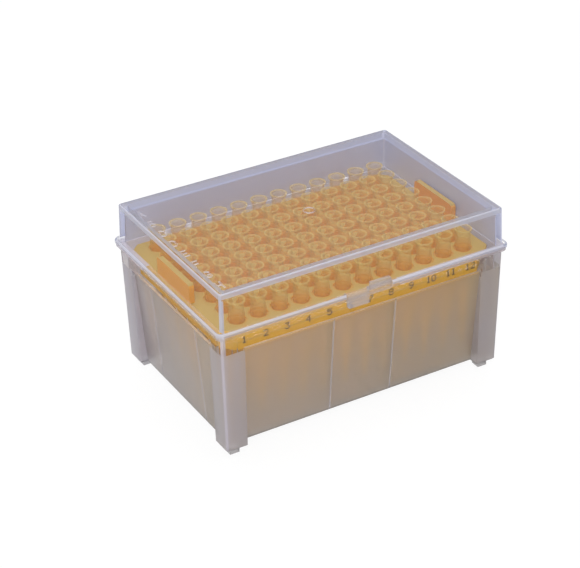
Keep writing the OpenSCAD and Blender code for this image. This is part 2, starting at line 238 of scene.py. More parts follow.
def moulded_plastic(r, look, cloud, warmth, tone):
    """Plastic that light goes through; its faces say how hazy, white and frosted they are, and carry painted
    light and shade.
    """
    grain = r.bump(r.noise(MOULD_GRAIN_SCALE), look.grain * MM)
    colour = r.blend(warmth, rgba(look.colour), rgba(look.warm_colour))
    body = r.node("ShaderNodeBsdfPrincipled", None, {
        "Base Color": r.scaled(colour, tone),
        "Roughness": r.face("frost") + (cloud - 0.5) * look.patchiness,
        "Alpha": r.face("haze"),
        "Transmission Weight": look.clearness,
        "IOR": look.ior,
        "Normal": grain,
    })["BSDF"]
    milk = r.blend(warmth, rgba(look.white_colour), rgba(look.warm_white))
    white = r.node("ShaderNodeBsdfPrincipled", None, {
        "Base Color": r.scaled(milk, tone),
        "Roughness": MILK_ROUGHNESS,
        "Alpha": look.white_body,
        "Normal": grain,
    })["BSDF"]
    return r.surface(r.lets_light_in(r.mix(r.face("white"), body, white), look.lets_in))


def clear_lid(look):
    """The lid's plastic, as warm and as light as its faces say: painted warmth for the orange light of the
    contents behind it, and painted light and shade.
    """
    r = Recipe("clear_lid")
    cloud = r.noise(CLOUD_SCALE, 3)
    warmth = r.face("warm") + (cloud - 0.5) * look.clouds
    return moulded_plastic(r, look, cloud, warmth, r.face("tone"))


def frosted_base(look):
    """The base's plastic, with the tips' yellow painted on as warm light at the top, fading towards the floor
    and the ends.
    """
    r = Recipe("frosted_base")
    cloud = r.noise(CLOUD_SCALE, 3)
    place = r.parts(r.place())
    low = r.step(place["Z"], LEDGE_Z, 0.0)
    right = r.step(place["X"], -BODY.x, BODY.x)
    rear = r.step(place["Y"], -BODY.y, BODY.y)
    # painted light and shade: warmer and cooler bands in line with the tips, for the tips seen through the
    # frosted wall
    off = ((place["X"] + place["Y"]) % PITCH) * (1 / PITCH) - 0.5
    bands = (off * off * 4 - BAND_MEAN) * (1 - low) * look.bands
    # painted light: the warmth is the yellow light of the tips and tray seen through the frosted wall, fading
    # towards the floor, the ends and the rear
    warmth = (r.face("warm") * (1 - low * look.fade) * (1 - right * look.fade_right)
              * (1 - (1 - right) * look.fade_left) * (1 - rear * look.fade_rear)
              + (cloud - 0.5) * look.clouds + bands)
    # painted light and shade: lighter towards the left end, and a darker line just above the feet
    line = r.step(place["Z"], LINE_HIGH, LINE_LOW)
    tone = r.face("tone") * (1 + (1 - right) * look.light_left) * (1 - line * look.low_line)
    return moulded_plastic(r, look, cloud, warmth, tone)


LIP_H, LIP_BLEND = 0.7 * MM, 0.2 * MM
FOOT_BLEND = 0.8 * MM                                # where the shoulders' colour fades out above
UNDER_BLEND = 2.0 * MM                               # where colours change below the tray
ALONG_BLEND = 0.35                                   # how early a wall counts as seen along itself


def yellow_tips(look):
    """Clear yellow plastic, denser at the lip, below the tray and where a wall is seen along itself, with
    painted shade on the shoulders in the tray's seats.
    """
    r = Recipe("yellow_tips")
    height = r.parts(r.place())["Z"]
    lip = r.step(height, TIP_TOP - LIP_H, TIP_TOP - LIP_H + LIP_BLEND)
    below = r.step(height, PLATE_TOP, PLATE_TOP - UNDER_BLEND)
    # painted shade: the shoulders in the tray's seats get a darker, redder colour for the shade and the
    # tray-tinted light there
    foot_top = PLATE_TOP + look.foot_up
    foot = (r.step(height, foot_top, foot_top - FOOT_BLEND)
            * r.step(height, TRAY_LOW.z - UNDER_BLEND, TRAY_LOW.z))
    cloud = r.noise(TIP_CLOUD_SCALE)
    # the lip's lighter colour is partly the rim's own denser plastic and partly a painted highlight where the
    # rim catches the light
    pale = r.blend(lip, rgba(look.colour), rgba(look.lip_colour))
    deep = r.blend(below, pale, rgba(look.deep_colour))
    colour = r.blend(foot, deep, rgba(look.foot_colour))
    along = r.node("ShaderNodeLayerWeight", None, {"Blend": ALONG_BLEND})["Facing"]
    solid = (look.body + lip * look.lip_body + below * look.deep_body + foot * look.foot_body
             + along * look.side_body)
    wall = r.node("ShaderNodeBsdfPrincipled", None, {
        "Base Color": colour,
        "Roughness": look.roughness + (cloud - 0.5) * look.patchiness,
        "Alpha": solid,
        "Specular IOR Level": look.shine,
        # painted glow: emission in the tips' own colour, for light coming through the thin yellow walls
        "Emission Color": colour,
        "Emission Strength": look.glow,
        "Normal": r.bump(r.noise(TIP_GRAIN_SCALE), look.grain * MM),
    })["BSDF"]
    return r.surface(r.lets_light_in(wall, look.lets_in))


SHADE_RING_BLEND = 1.0 * MM
PLATE_LOW = TRAY_LOW.z + 7 * MM                      # height from which the tray is its plate
PLATE_BLEND = 1.0 * MM
GRIP_BLEND = 0.4 * MM
LEVEL_UP, SIDE_UP = 0.8, 0.4                         # how far up the normals of level and side faces point


def yellow_tray(look):
    """Yellow plastic with a soft sheen, darker in patches, with painted shade redder around each tip and
    painted light on its side faces.
    """
    r = Recipe("yellow_tray")
    cloud = r.noise(TRAY_CLOUD_SCALE, 3)
    at = r.parts(r.place())
    across = (at["X"] - FIRST_X + PITCH / 2) % PITCH - PITCH / 2
    along = (at["Y"] - FIRST_Y + PITCH / 2) % PITCH - PITCH / 2
    away = (across * across + along * along) ** 0.5
    # painted shade: a redder ring on the plate around each tip, for the shade and the tip-tinted light there
    near = r.step(away, look.ring + SHADE_RING_BLEND, look.ring)
    between = r.step(at["X"] * at["X"], (LAST_X + PITCH / 2) ** 2, LAST_X ** 2 + PITCH ** 2 / 8)
    plate = r.step(at["Z"], PLATE_LOW, PLATE_LOW + PLATE_BLEND)
    plain = r.blend(cloud, rgba(look.colour), rgba(look.deep_colour))
    top = r.blend(near * between * plate * look.ring_share, plain, rgba(look.ring_colour))
    # painted light and shade: faces that do not point up get brighter, redder colours for light coming
    # through the plastic, the grips' sides a darker red, and level faces keep the darker colour
    up = r.parts(r.node("ShaderNodeTexCoord")["Normal"])["Z"]
    grip = r.step(at["Z"], PLATE_TOP, PLATE_TOP + GRIP_BLEND)
    side = r.blend(grip, rgba(look.side_colour), rgba(look.grip_colour))
    colour = r.blend(r.step(up, LEVEL_UP, SIDE_UP), top, side)
    return r.surface(r.node("ShaderNodeBsdfPrincipled", None, {
        "Base Color": colour,
        "Specular IOR Level": look.shine,
        "Roughness": look.roughness + (cloud - 0.5) * look.patchiness,
        # painted glow: emission in the tray's own colour, for light scattered through the plastic
        "Emission Color": colour,
        "Emission Strength": look.glow,
        "Normal": r.bump(r.noise(TRAY_GRAIN_SCALE), look.grain * MM),
    })["BSDF"])


THIN_INK = 2.2                                       # how much lighter the ink is where it is thin


def dark_ink(look):
    """Ink that is a little lighter and duller in places."""
    r = Recipe("dark_ink")
    spread = r.noise(INK_SCALE)
    colour = r.blend(spread, rgba(look.colour), rgba([part * THIN_INK for part in look.colour]))
    return r.surface(r.node("ShaderNodeBsdfPrincipled", None, {
        "Base Color": colour,
        "Roughness": look.roughness + spread * look.patchiness,
    })["BSDF"])


# ---------------------------------------------------------------- sizes and colours


def zone(name, where, *values):
    """The haze, whiteness, frost, warmth and lightness of the faces in one part of a moulding; the lightness
    is painted light and shade, and the whiteness is the plastic's milkiness and, on edges, marks and ledges,
    a painted highlight.
    """
    values_of = "Haze, whiteness, frost, warmth and lightness of "
    return FloatVectorProperty(name=name, description=values_of + where, size=len(values), default=values,
                               min=0, max=2)


class MouldingLook:
    """What the lid and the base have in common."""
    clouds: FloatProperty(name="Clouds", description="Change of the warmth from place to place",
                          default=0.2, min=0, max=1)
    patchiness: FloatProperty(name="Patchiness", description="Change of the frost from place to place",
                              default=0.06, min=0, max=1)
    lets_in: FloatProperty(name="Lets in",
                           description="How much lighter its shadow is than the surface alone casts",
                           default=0.8, min=0, max=1)
    grain: FloatProperty(name="Grain", description="Depth of the fine grain, in millimetres",
                         default=0.01, min=0)
    ior: FloatProperty(name="Refraction", description="Index of refraction", default=1.4, min=1, max=2)


class LidLook(MouldingLook, bpy.types.PropertyGroup):
    """Colours of the lid, and the looks of its parts."""
    colour: FloatVectorProperty(name="Colour", description="Colour of the cool places", subtype="COLOR",
                                default=(0.41, 0.43, 0.56), min=0, max=1)
    # painted light: the warm colour stands for the orange light of the tray and tips behind the lid
    warm_colour: FloatVectorProperty(name="Warm colour", description="Colour of the warm places",
                                     subtype="COLOR", default=(0.46, 0.42, 0.42), min=0, max=1)
    clearness: FloatProperty(name="Clearness",
                             description="Share of light that goes through the plastic's body",
                             default=0.0, min=0, max=1)
    white_colour: FloatVectorProperty(name="White colour", description="Colour of the whitest places",
                                      subtype="COLOR", default=(0.45, 0.445, 0.5), min=0, max=1)
    warm_white: FloatVectorProperty(name="Warm white", description="Colour of the whitest of the warm places",
                                    subtype="COLOR", default=(0.46, 0.43, 0.4), min=0, max=1)
    white_body: FloatProperty(name="White body", description="How solid the whitest places look",
                              default=0.9, min=0, max=1)
    # the last value of each zone, its lightness, is painted light and shade
    panel: zone("Panel", "the top panel", 0.07, 0.0, 0.2, 0.3, 1.0)
    front: zone("Front walls", "the front and left walls", 0.065, 0.0, 0.2, 0.4, 1.0)
    rear: zone("Rear walls", "the rear and right walls", 0.85, 0.0, 0.25, 0.0, 1.4)
    stack: zone("Stacking edge", "the edge around the top", 0.5, 0.4, 0.2, 0.1, 1.1)
    stack_top: zone("Top of the stacking edge", "its upper face", 0.7, 0.3, 0.15, 0.1, 1.15)
    far_stack: zone("Rear stacking edge", "the edge around the top, behind", 0.85, 0.0, 0.25, 0.0, 1.2)
    far_stack_top: zone("Top of the rear stacking edge", "its upper face", 0.95, 0.0, 0.25, 0.0, 0.88)
    flange: zone("Flange", "the flange", 0.4, 0.2, 0.2, 0.2, 1.0)
    # painted highlight: the flange's front edges are whiter and lighter
    flange_edges: zone("Flange edges", "the flange's edges in front", 0.7, 0.7, 0.2, 0.0, 1.15)
    catch: zone("Catch", "the catch's tab", 0.1, 0.3, 0.2, 0.2, 1.0)
    hinge: zone("Hinge", "the arms and pins of the hinges", 0.3, 0.0, 0.2, 0.0, 1.0)
    # painted highlights on the rounded sides of the letters and the ring
    marks: zone("Marks", "the row letters and the gate ring", 0.4, 0.8, 0.3, 0.0, 1.7)
    # painted highlights on the rounded edges in front, whiter and lighter; painted shade on the rear edges,
    # darker
    edges: zone("Edges", "the rounded edges in front", 0.7, 0.7, 0.2, 0.0, 1.1)
    far_edges: zone("Rear edges", "the rounded edges behind", 1.0, 0.0, 0.25, 0.0, 0.75)


class BaseLook(MouldingLook, bpy.types.PropertyGroup):
    """Colours of the base, and the looks of its parts."""
    colour: FloatVectorProperty(name="Colour", description="Colour of the cool places", subtype="COLOR",
                                default=(0.57, 0.555, 0.61), min=0, max=1)
    # painted light: the warm colour stands for the yellow light of the contents seen through the wall
    warm_colour: FloatVectorProperty(name="Warm colour", description="Colour of the warm places",
                                     subtype="COLOR", default=(0.8, 0.63, 0.42), min=0, max=1)
    fade: FloatProperty(name="Fade", description="How much of the warmth is lost at the floor",
                        default=0.25, min=0, max=1)
    # painted light and shade of the tips seen through the wall
    bands: FloatProperty(name="Bands", description="Strength of the bands that stand in line with the tips",
                         default=0.15, min=0, max=1)
    # painted shade: a darker line along the lower edge
    low_line: FloatProperty(name="Low line", description="How much darker the lower edge is",
                            default=0.5, min=0, max=1)
    # painted light: the left end is drawn lighter
    light_left: FloatProperty(name="Lighter on the left", description="How much lighter the left end is",
                              default=0.24, min=0, max=1)
    fade_left: FloatProperty(name="Fade to the left",
                             description="How much of the warmth is lost at the left end",
                             default=0.35, min=0, max=1)
    fade_right: FloatProperty(name="Fade to the right",
                              description="How much of the warmth is lost at the right end",
                              default=0.2, min=0, max=1)
    fade_rear: FloatProperty(name="Fade to the rear",
                             description="How much of the warmth is lost at the rear",
                             default=0.8, min=0, max=1)
    clearness: FloatProperty(name="Clearness",
                             description="Share of light that goes through the plastic's body",
                             default=0.93, min=0, max=1)
    white_colour: FloatVectorProperty(name="White colour", description="Colour of the whitest places",
                                      subtype="COLOR", default=(0.4, 0.37, 0.42), min=0, max=1)
    warm_white: FloatVectorProperty(name="Warm white", description="Colour of the whitest of the warm places",
                                    subtype="COLOR", default=(0.48, 0.36, 0.15), min=0, max=1)
    white_body: FloatProperty(name="White body", description="How solid the whitest places look",
                              default=0.8, min=0, max=1)
    # the last value of each zone, its lightness, is painted light and shade
    panels: zone("Panels", "the set-in panels and the floor", 1.0, 0.32, 0.35, 1.0, 1.02)
    end_panels: zone("Left panels", "the panels of the left end", 1.0, 0.3, 0.35, 1.3, 0.79)
    end_posts: zone("Left sides of the posts", "the posts' left sides", 1.0, 0.6, 0.3, 0.25, 0.84)
    far_panels: zone("Rear panels", "the rear panels and the floor", 1.0, 0.6, 0.42, 0.3, 1.0)
    window: zone("Band at the tray", "the wall around the tray", 0.07, 0.05, 0.1, 0.5, 1)
    far_window: zone("Rear band at the tray", "the rear wall around the tray", 0.9, 0.85, 0.3, 0.0, 1.1)
    posts: zone("Posts", "the corner posts and feet", 1.0, 0.6, 0.3, 0.35, 0.96)
    # painted highlight: the ledges are a lighter, whiter line
    ledges: zone("Ledges", "the panels' upper edges", 0.6, 0.7, 0.3, 0.5, 1.15)
    ribs: zone("Ribs", "the ribs that the tray stands on", 1.0, 0.75, 0.3, 0.2, 1.0)
    rim: zone("Rim", "the rim", 0.3, 0.15, 0.2, 0.3, 1.0)
    # painted highlight on the rim's front edges
    flange_edges: zone("Rim edges", "the rim's edges in front", 0.6, 0.6, 0.3, 0.0, 1.0)
    catch: zone("Catch", "the thumb tab", 0.2, 0.35, 0.2, 0.2, 1.0)
    hinge: zone("Hinge", "the ears of the hinges", 0.3, 0.1, 0.25, 0.0, 1.0)
    # painted highlights on the rounded edges in front, whiter and lighter; painted shade on the rear edges,
    # darker
    edges: zone("Edges", "the rounded edges in front", 1.0, 0.75, 0.3, 0.0, 1.15)
    far_edges: zone("Rear edges", "the rounded edges behind", 1.0, 0.5, 0.3, 0.0, 0.75)


class TrayLook(bpy.types.PropertyGroup):
    """Colours and sheen of the tray."""
    colour: FloatVectorProperty(name="Colour", description="Colour of the tray", subtype="COLOR",
                                default=(0.43, 0.3, 0.08), min=0, max=1)
    deep_colour: FloatVectorProperty(name="Deep colour", description="Colour of the tray's darker patches",
                                     subtype="COLOR", default=(0.44, 0.285, 0.065), min=0, max=1)
    # painted light: the skirt's and grips' colours are lit copies of the tray's colour
    side_colour: FloatVectorProperty(name="Side colour", description="Colour of the skirt",
                                     subtype="COLOR", default=(0.75, 0.42, 0.03), min=0, max=1)
    grip_colour: FloatVectorProperty(name="Grip colour", description="Colour of the grips' sides",
                                     subtype="COLOR", default=(0.7, 0.3, 0.012), min=0, max=1)
    roughness: FloatProperty(name="Roughness", description="Roughness of the tray", default=0.5, min=0, max=1)
    patchiness: FloatProperty(name="Patchiness", description="Change of the roughness from place to place",
                              default=0.1, min=0, max=1)
    # painted shade: the ring is shade and tip-tinted light painted on the plate around each tip
    ring: FloatProperty(name="Ring", description="Radius of the redder ring around a tip",
                        subtype="DISTANCE", default=3.6 * MM, min=0)
    ring_share: FloatProperty(name="Ring share", description="Strength of the redder ring", default=0.85,
                              min=0, max=1)
    ring_colour: FloatVectorProperty(name="Ring colour", description="Colour of the tray close to the tips",
                                     subtype="COLOR", default=(0.48, 0.255, 0.03), min=0, max=1)
    shine: FloatProperty(name="Shine", description="Strength of the surface's reflection", default=0.25,
                         min=0, max=1)
    # painted glow: emission that stands in for light scattered through the plastic
    glow: FloatProperty(name="Glow", description="Light that the plastic carries inside it", default=0.04,
                        min=0, max=1)
    grain: FloatProperty(name="Grain", description="Depth of the fine grain, in millimetres",
                         default=0.02, min=0)


class TipLook(bpy.types.PropertyGroup):
    """Colours of the tips, and how solid their parts look."""
    colour: FloatVectorProperty(name="Colour", description="Colour of the collars", subtype="COLOR",
                                default=(0.6, 0.4, 0.09), min=0, max=1)
    # partly the rim's own plastic and partly a painted highlight
    lip_colour: FloatVectorProperty(name="Lip colour", description="Colour of the lips", subtype="COLOR",
                                    default=(0.65, 0.48, 0.14), min=0, max=1)
    deep_colour: FloatVectorProperty(name="Deep colour", description="Colour of the cones below the tray",
                                     subtype="COLOR", default=(0.8, 0.5, 0.1), min=0, max=1)
    # painted shade of the shoulders in the tray's seats
    foot_colour: FloatVectorProperty(name="Foot colour",
                                     description="Colour of the shoulders in the tray's seats",
                                     subtype="COLOR", default=(0.66, 0.34, 0.04), min=0, max=1)
    foot_up: FloatProperty(name="Foot height",
                           description="How far the shoulders' colour reaches up the collar",
                           subtype="DISTANCE", default=3.2 * MM, min=0)
    foot_body: FloatProperty(name="Foot body", description="How much more solid the shoulders are",
                             default=0.25, min=0, max=1)
    # painted glow: emission that stands in for light coming through the walls
    glow: FloatProperty(name="Glow", description="Light that the walls carry inside them", default=0.1, min=0,
                        max=1)
    shine: FloatProperty(name="Shine", description="Strength of the surface's reflection", default=0.4, min=0,
                         max=1)
    body: FloatProperty(name="Body", description="How solid a collar's wall is", default=0.1, min=0, max=1)
    lip_body: FloatProperty(name="Lip body", description="How much more solid the lip is",
                            default=0.18, min=0, max=1)
    deep_body: FloatProperty(name="Deep body", description="How much more solid the cones below the tray are",
                             default=0.3, min=0, max=1)
    side_body: FloatProperty(name="Side body", description="How much more solid a wall is along itself",
                             default=0.35, min=0, max=1)
    roughness: FloatProperty(name="Roughness", description="Roughness of the tips", default=0.2, min=0, max=1)
    patchiness: FloatProperty(name="Patchiness", description="Change of the roughness from place to place",
                              default=0.05, min=0, max=1)
    lets_in: FloatProperty(name="Lets in",
                           description="How much lighter its shadow is than the surface alone casts",
                           default=0.7, min=0, max=1)
    grain: FloatProperty(name="Grain", description="Depth of the fine grain, in millimetres",
                         default=0.005, min=0)


class Edges(bpy.types.PropertyGroup):
    """How the edges of the mouldings are rounded."""
    radius: FloatProperty(name="Edge radius", description="Radius that the mould leaves on edges",
                          subtype="DISTANCE", default=0.16 * MM, min=0)
    segments: IntProperty(name="Segments", description="Faces across a rounded edge", default=2, min=1, max=4)
    sharp: FloatProperty(name="Sharp from", description="Edges that turn by more than this are rounded",
                         subtype="ANGLE", default=math.radians(40))


class Numbers(bpy.types.PropertyGroup):
    """The numbers that are printed on the skirt."""
    dot_pitch: FloatProperty(name="Dot pitch", description="Distance between the printed dots",
                             subtype="DISTANCE", default=0.4 * MM, min=0)
    dot_size: FloatProperty(name="Dot size", description="Radius of a printed dot",
                            subtype="DISTANCE", default=0.29 * MM, min=0)
    ink: FloatProperty(name="Ink", description="Thickness of the ink",
                       subtype="DISTANCE", default=0.02 * MM, min=0)
    height: FloatProperty(name="Height", description="Middle of the numbers above the tray's lower edge",
                          subtype="DISTANCE", default=3.5 * MM, min=0)
    colour: FloatVectorProperty(name="Colour", description="Colour of the ink", subtype="COLOR",
                                default=(0.02, 0.012, 0.008), min=0, max=1)
    roughness: FloatProperty(name="Roughness", description="Roughness of the ink", default=0.5, min=0, max=1)
    patchiness: FloatProperty(name="Patchiness", description="Change of the roughness from place to place",
                              default=0.2, min=0, max=1)


class Studio(bpy.types.PropertyGroup):
    """The camera, the lamps and the floor."""
    azimuth: FloatProperty(name="Azimuth", description="Turn of the camera round the box",
                           subtype="ANGLE", default=math.radians(-29.54))
    elevation: FloatProperty(name="Elevation", description="Height of the camera above the horizon",
                             subtype="ANGLE", default=math.radians(30.405))
    roll: FloatProperty(name="Roll", description="Tilt of the camera", subtype="ANGLE",
                        default=math.radians(-1.444))
    distance: FloatProperty(name="Distance", description="From the camera to what it looks at",
                            subtype="DISTANCE", default=0.7023)
    aim: FloatVectorProperty(name="Aim", description="The point that the camera looks at",
                             subtype="TRANSLATION", default=(-0.01202, -0.00507, 0.04269))
    lens: FloatProperty(name="Lens", description="Focal length in millimetres", default=113.81)
    lamp: FloatProperty(name="Lamp", description="Strength of each lamp in watts", default=7.0, min=0)
    room: FloatProperty(name="Room", description="Strength of the light from all round", default=0.45, min=0)
    shade: FloatProperty(name="Shade", description="How much of the shadow the floor shows", default=0.12,
                         min=0, max=1)
    floor: FloatProperty(name="Floor", description="Strength of the floor's white", default=1.03, min=0)


class TipBoxSettings(bpy.types.PropertyGroup):
    """All the sizes and colours of the dressed box."""
    lid: PointerProperty(type=LidLook)
    base: PointerProperty(type=BaseLook)
    tray: PointerProperty(type=TrayLook)
    tips: PointerProperty(type=TipLook)
    edges: PointerProperty(type=Edges)
    numbers: PointerProperty(type=Numbers)
    studio: PointerProperty(type=Studio)


# ---------------------------------------------------------------- pieces


def add_piece(name, mesh, body, material, replaces=()):
    piece = bpy.data.objects.new(name, mesh)
    bpy.context.scene.collection.objects.link(piece)
    mesh.materials.clear()
    mesh.materials.append(material)
    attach(piece, body)
    if replaces:
        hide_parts(*replaces)
    return piece


SLANT = 0.03                                         # 1 - cosine of the slant where a rounded edge begins
FAR_BAND = 5 * MM                                    # faces this near to the rear or right wall are far
PROUD = 0.3 * MM                                     # what stands out this much is no part of a wall
HINGE_FROM, HINGE_TO = 20 * MM, BODY.x - 8 * MM      # where the hinges are along the rear
ARM_UP, EAR_DOWN = 4 * MM, 6 * MM                    # reach of the lid's arms and the base's ears
CATCH_HALF = 10 * MM                                 # where the catch is along the front
PANEL_IN = 4 * MM                                    # the lid's panel, inside the wall's outer face
MARK_UP = 0.05 * MM                                  # height from which a mark stands up from the panel
FLANGE_UP = 1.8 * MM                                 # top of the lid's flange above the hinge's axis
FLANGE_NEAR = 0.1 * MM
EDGE_OUT = 1 * MM                                    # the flanges' outer edges are further out than this
RIM_OUT = 0.2 * MM
POST_SPARE = 1 * MM                                  # a post's inner face lies this much further in
LEDGE_NEAR = 0.3 * MM
FLOOR_UP = 5 * MM                                    # what is lower than this looks like the floor
STEEP = 0.4                                          # upward part of a normal, below which a face is steep
LEVEL = 0.7                                          # and above which it is level
TRUE_LEVEL = 0.99                                    # a mark's rounded faces are less level than this


def is_far(at):
    return at.y > BODY.y - FAR_BAND or at.x > BODY.x - FAR_BAND


def past_wall(at):
    """How far a point lies outside the box's walls, below 0 inside them."""
    return max(abs(at.x) - BODY.x, abs(at.y) - BODY.y)


def is_slanted(normal):
    return 1 - max(abs(part) for part in normal) > SLANT


def by_hinge(at):
    return at.y > BODY.y + PROUD and HINGE_FROM < abs(at.x) < HINGE_TO


def in_post(at):
    return abs(at.x) > BODY.x - POST_W - POST_SPARE and abs(at.y) > BODY.y - POST_W - POST_SPARE


def by_catch(at):
    return at.y < -BODY.y - PROUD and abs(at.x) < CATCH_HALF


def lid_zone(at, normal):
    """The part of the lid that a face belongs to."""
    far = is_far(at)
    if by_hinge(at) and at.z < HINGE.z + ARM_UP:
        return "hinge"
    if at.z > PANEL_TOP + MARK_UP and past_wall(at) < -PANEL_IN:
        return "panel" if normal.z > TRUE_LEVEL else "marks"
    if is_slanted(normal):
        if past_wall(at) > EDGE_OUT and not far:
            return "flange_edges"
        if far and abs(normal.z) < STEEP:
            return "rear"
        return "far_edges" if far else "edges"
    if by_catch(at):
        return "catch"
    if at.z < HINGE.z + FLANGE_UP and past_wall(at) > -FLANGE_NEAR:
        return "flange"
    if abs(normal.z) > LEVEL and abs(at.z - PANEL_TOP + PANEL_T / 2) < PANEL_T / 2 + MARK_UP:
        return "panel"
    if at.z > PANEL_TOP:
        return ("far_stack" if far else "stack") + ("_top" if normal.z > LEVEL else "")
    return "rear" if far else "front"


def base_zone(at, normal):
    """The part of the base that a face belongs to."""
    far = is_far(at)
    if by_hinge(at) and at.z > HINGE.z - EAR_DOWN:
        return "hinge"
    if is_slanted(normal):
        if past_wall(at) > EDGE_OUT and abs(at.x) > CATCH_HALF and not far:
            return "flange_edges"
        return "far_edges" if far else "edges"
    if by_catch(at):
        return "catch"
    if past_wall(at) > RIM_OUT:
        return "rim"
    if abs(at.z - LEDGE_Z) < LEDGE_NEAR and abs(normal.z) > LEVEL:
        return "ledges"
    outside = at.x * normal.x + at.y * normal.y > 0
    if at.z > (VEIL_Z if outside else TRAY_LOW.z):
        return "far_window" if far else "window"
    left_end = outside and normal.x < -LEVEL
    if in_post(at):
        return "end_posts" if left_end else "posts"
    if min(abs(abs(at.x) - RIB_X), abs(abs(at.y) - RIB_Y)) < RIB_LINE / 2:
        return "ribs"
    if far or at.z < BASE_LOW.z + FLOOR_UP:
        return "far_panels"
    return "end_panels" if left_end else "panels"


def level(z):
    """A level plane, as a point and a direction."""
    return (0, 0, z), (0, 0, 1)


MERGE = 0.002 * MM
FLAT = math.radians(0.5)                             # faces that turn by less than this become one
SMOOTH = math.radians(32)                            # edges that turn by less than this are shaded as round
FACE_VALUES = ("haze", "white", "frost", "warm", "tone")


def rounded_copy(node, edges, cuts, zone_of, look):
    """The node's mesh, merged and cut, with rounded edges and its zones' looks on its faces."""
    mesh = frame["nodes"][node].data.copy()
    bm = bmesh.new()
    bm.from_mesh(mesh)
    bmesh.ops.remove_doubles(bm, verts=bm.verts, dist=MERGE)
    bmesh.ops.dissolve_degenerate(bm, edges=bm.edges, dist=MERGE)
    bmesh.ops.dissolve_limit(bm, angle_limit=FLAT, verts=bm.verts, edges=bm.edges)
    sharp = [e for e in bm.edges if e.is_manifold and e.calc_face_angle(0) > edges.sharp]
    bmesh.ops.bevel(bm, geom=sharp, offset=edges.radius, offset_type="OFFSET", segments=edges.segments,
                    profile=0.5, affect="EDGES", clamp_overlap=True, material=-1)
    for point, normal in cuts:
        bmesh.ops.bisect_plane(bm, geom=[*bm.verts, *bm.edges, *bm.faces], dist=MERGE / 2,
                               plane_co=point, plane_no=normal)
    bm.normal_update()
    bm.to_mesh(mesh)
    bm.free()
    looks = [getattr(look, zone_of(p.center, p.normal)) for p in mesh.polygons]
    for index, name in enumerate(FACE_VALUES):
        layer = mesh.attributes.new(name, "FLOAT", "FACE").data
        layer.foreach_set("value", [values[index] for values in looks])
    mesh.polygons.foreach_set("use_smooth", [True] * len(mesh.polygons))
    mesh.set_sharp_from_angle(angle=SMOOTH)
    return mesh


class TIPBOX_OT_base(bpy.types.Operator):
    """Makes the frosted base with its posts, feet, rim and hinge ears"""
    bl_idname = "tipbox.base"
    bl_label = "Base"

    def execute(self, context):
        settings = context.scene.tipbox
        cuts = [level(TRAY_LOW.z), level(VEIL_Z)]
        cuts += [((x + d, 0, 0), (1, 0, 0)) for x in (-RIB_X, RIB_X) for d in (-RIB_LINE, RIB_LINE)]
        cuts += [((0, y + d, 0), (0, 1, 0)) for y in (-RIB_Y, RIB_Y) for d in (-RIB_LINE, RIB_LINE)]
        mesh = rounded_copy("base", settings.edges, cuts, base_zone, settings.base)
        add_piece("base_shell", mesh, "base", frosted_base(settings.base), ["base"])
        return {"FINISHED"}


class TIPBOX_OT_lid(bpy.types.Operator):
    """Makes the clear lid with its stacking edge, letters and catch"""
    bl_idname = "tipbox.lid"
    bl_label = "Lid"

    def execute(self, context):
        settings = context.scene.tipbox
        cuts = [level(PANEL_TOP - PANEL_T), level(PANEL_TOP)]
        mesh = rounded_copy("lid", settings.edges, cuts, lid_zone, settings.lid)
        add_piece("lid_shell", mesh, "lid", clear_lid(settings.lid), ["lid"])
        return {"FINISHED"}


class TIPBOX_OT_tray(bpy.types.Operator):
    """Gives the tray its yellow plastic"""
    bl_idname = "tipbox.tray"
    bl_label = "Tray"

    def execute(self, context):
        tray = frame["nodes"]["tray"]
        tray.data.materials.clear()
        tray.data.materials.append(yellow_tray(context.scene.tipbox.tray))
        return {"FINISHED"}


class TIPBOX_OT_tips(bpy.types.Operator):
    """Gives the tips their translucent yellow plastic"""
    bl_idname = "tipbox.tips"
    bl_label = "Tips"

    def execute(self, context):
        material = yellow_tips(context.scene.tipbox.tips)
        for name in COLUMNS:
            tips = frame["nodes"][name]
            tips.data.materials.clear()
            tips.data.materials.append(material)
        return {"FINISHED"}


DIGITS = {
    "0": "01110 10001 10001 10001 10001 10001 01110",
    "1": "00100 01100 00100 00100 00100 00100 01110",
    "2": "01110 10001 00001 00010 00100 01000 11111",
    "3": "11111 00010 00100 00010 00001 10001 01110",
    "4": "00010 00110 01010 10010 11111 00010 00010",
    "5": "11111 10000 11110 00001 00001 10001 01110",
    "6": "00110 01000 10000 11110 10001 10001 01110",
    "7": "11111 00001 00010 00100 01000 01000 01000",
    "8": "01110 10001 10001 01110 10001 10001 01110",
    "9": "01110 10001 10001 01111 00001 00010 01100",
}
DIGIT_COLUMNS, DIGIT_ROWS = 5, 7
DIGIT_STEP = DIGIT_COLUMNS + 1                       # from a digit to the next, in dots


def dots_of(number):
    """Where the dots of a number are, across and up from its middle, counted in dots."""
    text = str(number)
    width = (len(text) - 1) * DIGIT_STEP + DIGIT_COLUMNS - 1
    for place, digit in enumerate(text):
        for row, dots in enumerate(DIGITS[digit].split()):
            for column, dot in enumerate(dots):
                if dot == "1":
                    yield place * DIGIT_STEP + column - width / 2, DIGIT_ROWS // 2 - row


